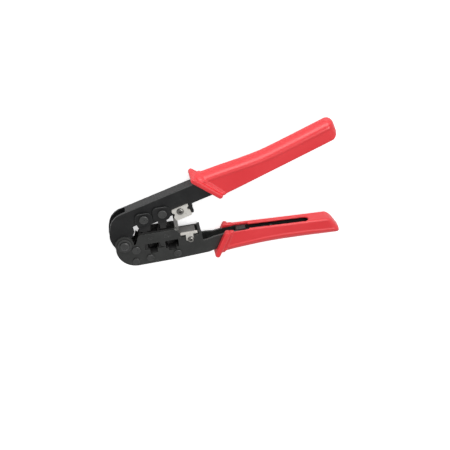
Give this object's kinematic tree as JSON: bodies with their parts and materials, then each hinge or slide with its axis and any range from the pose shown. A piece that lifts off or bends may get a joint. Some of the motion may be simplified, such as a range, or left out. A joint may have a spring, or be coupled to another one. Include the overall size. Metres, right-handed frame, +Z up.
{
  "type": "modular plug crimping tool",
  "caption": "Hand crimping tool for 6- and 8-position modular plugs, with two punches, cutting blades, red grips and a lever latch.",
  "frame": {"origin": "pivot axis of the two levers, in the plane that the tool lies on (the flat end of the pivot bolt)", "axes": "+X along the fixed lever from the pivot to the grips, +Y from the fixed lever to the moving lever, +Z up out of the face with the plug windows"},
  "size_m": [0.209, 0.1144, 0.022],
  "materials": {
    "black_steel": "satin black coated steel",
    "dark_steel": "blackened machined steel",
    "bare_steel": "ground",
    "blade_steel": "bright ground",
    "red_grip": "satin moulded sleeve"
  },
  "bodies": {
    "frame": {"frame_channel": "black_steel", "die_block": "dark_steel", "guide_bar": "bare_steel", "anvil_block": "dark_steel", "stop_plate": "black_steel", "lower_blade": "blade_steel", "lower_blade_screw": "bare_steel", "frame_spacers": "dark_steel", "frame_rivets": "black_steel", "pivot_bolt": "black_steel", "pivot_washer": "black_steel", "pivot_nut": "black_steel", "pivot_sleeve": "dark_steel", "return_spring": "bare_steel", "lower_grip": "red_grip", "latch_pin": "bare_steel"},
    "lever": {"lever_channel": "black_steel", "blade_block": "dark_steel", "upper_blade": "blade_steel", "upper_blade_screw": "bare_steel", "catch_pin": "bare_steel", "upper_grip": "red_grip"},
    "punch_unit_6p": {"punch_6p": "dark_steel", "holder_plates_6p": "black_steel", "punch_pin_6p": "black_steel", "tooth_comb_6p": "dark_steel", "anchor_bar_6p": "dark_steel"},
    "punch_unit_8p": {"punch_8p": "dark_steel", "holder_plates_8p": "black_steel", "punch_pin_8p": "black_steel", "tooth_comb_8p": "dark_steel", "anchor_bar_8p": "dark_steel"},
    "latch": {"latch": "dark_steel"}
  },
  "joints": [
    {"name": "lever_pivot", "type": "hinge", "parent": "frame", "child": "lever", "pos_m": [0, 0, 0.011], "axis": [0, 0, 1], "range_deg": [-15.3, 0], "stiffness_Nm_per_rad": 1, "springref_deg": 25.78, "deforming": ["return_spring"]},
    {"name": "punch_swing_6p", "type": "hinge", "parent": "lever", "child": "punch_unit_6p", "pos_m": [0.02001, 0.0231, 0.011], "axis": [0, 0, 1], "range_deg": [0, 15.3]},
    {"name": "punch_swing_8p", "type": "hinge", "parent": "lever", "child": "punch_unit_8p", "pos_m": [0.03669, 0.0258, 0.011], "axis": [0, 0, 1], "range_deg": [0, 15.3]},
    {"name": "latch_swing", "type": "hinge", "parent": "frame", "child": "latch", "pos_m": [0.104, -0.009, 0.011], "axis": [0, 0, 1], "range_deg": [0, 102]}
  ],
  "couplings": [
    {"joint": "punch_swing_6p", "follows": "lever_pivot", "ratio": -1},
    {"joint": "punch_swing_8p", "follows": "lever_pivot", "ratio": -1}
  ]
}
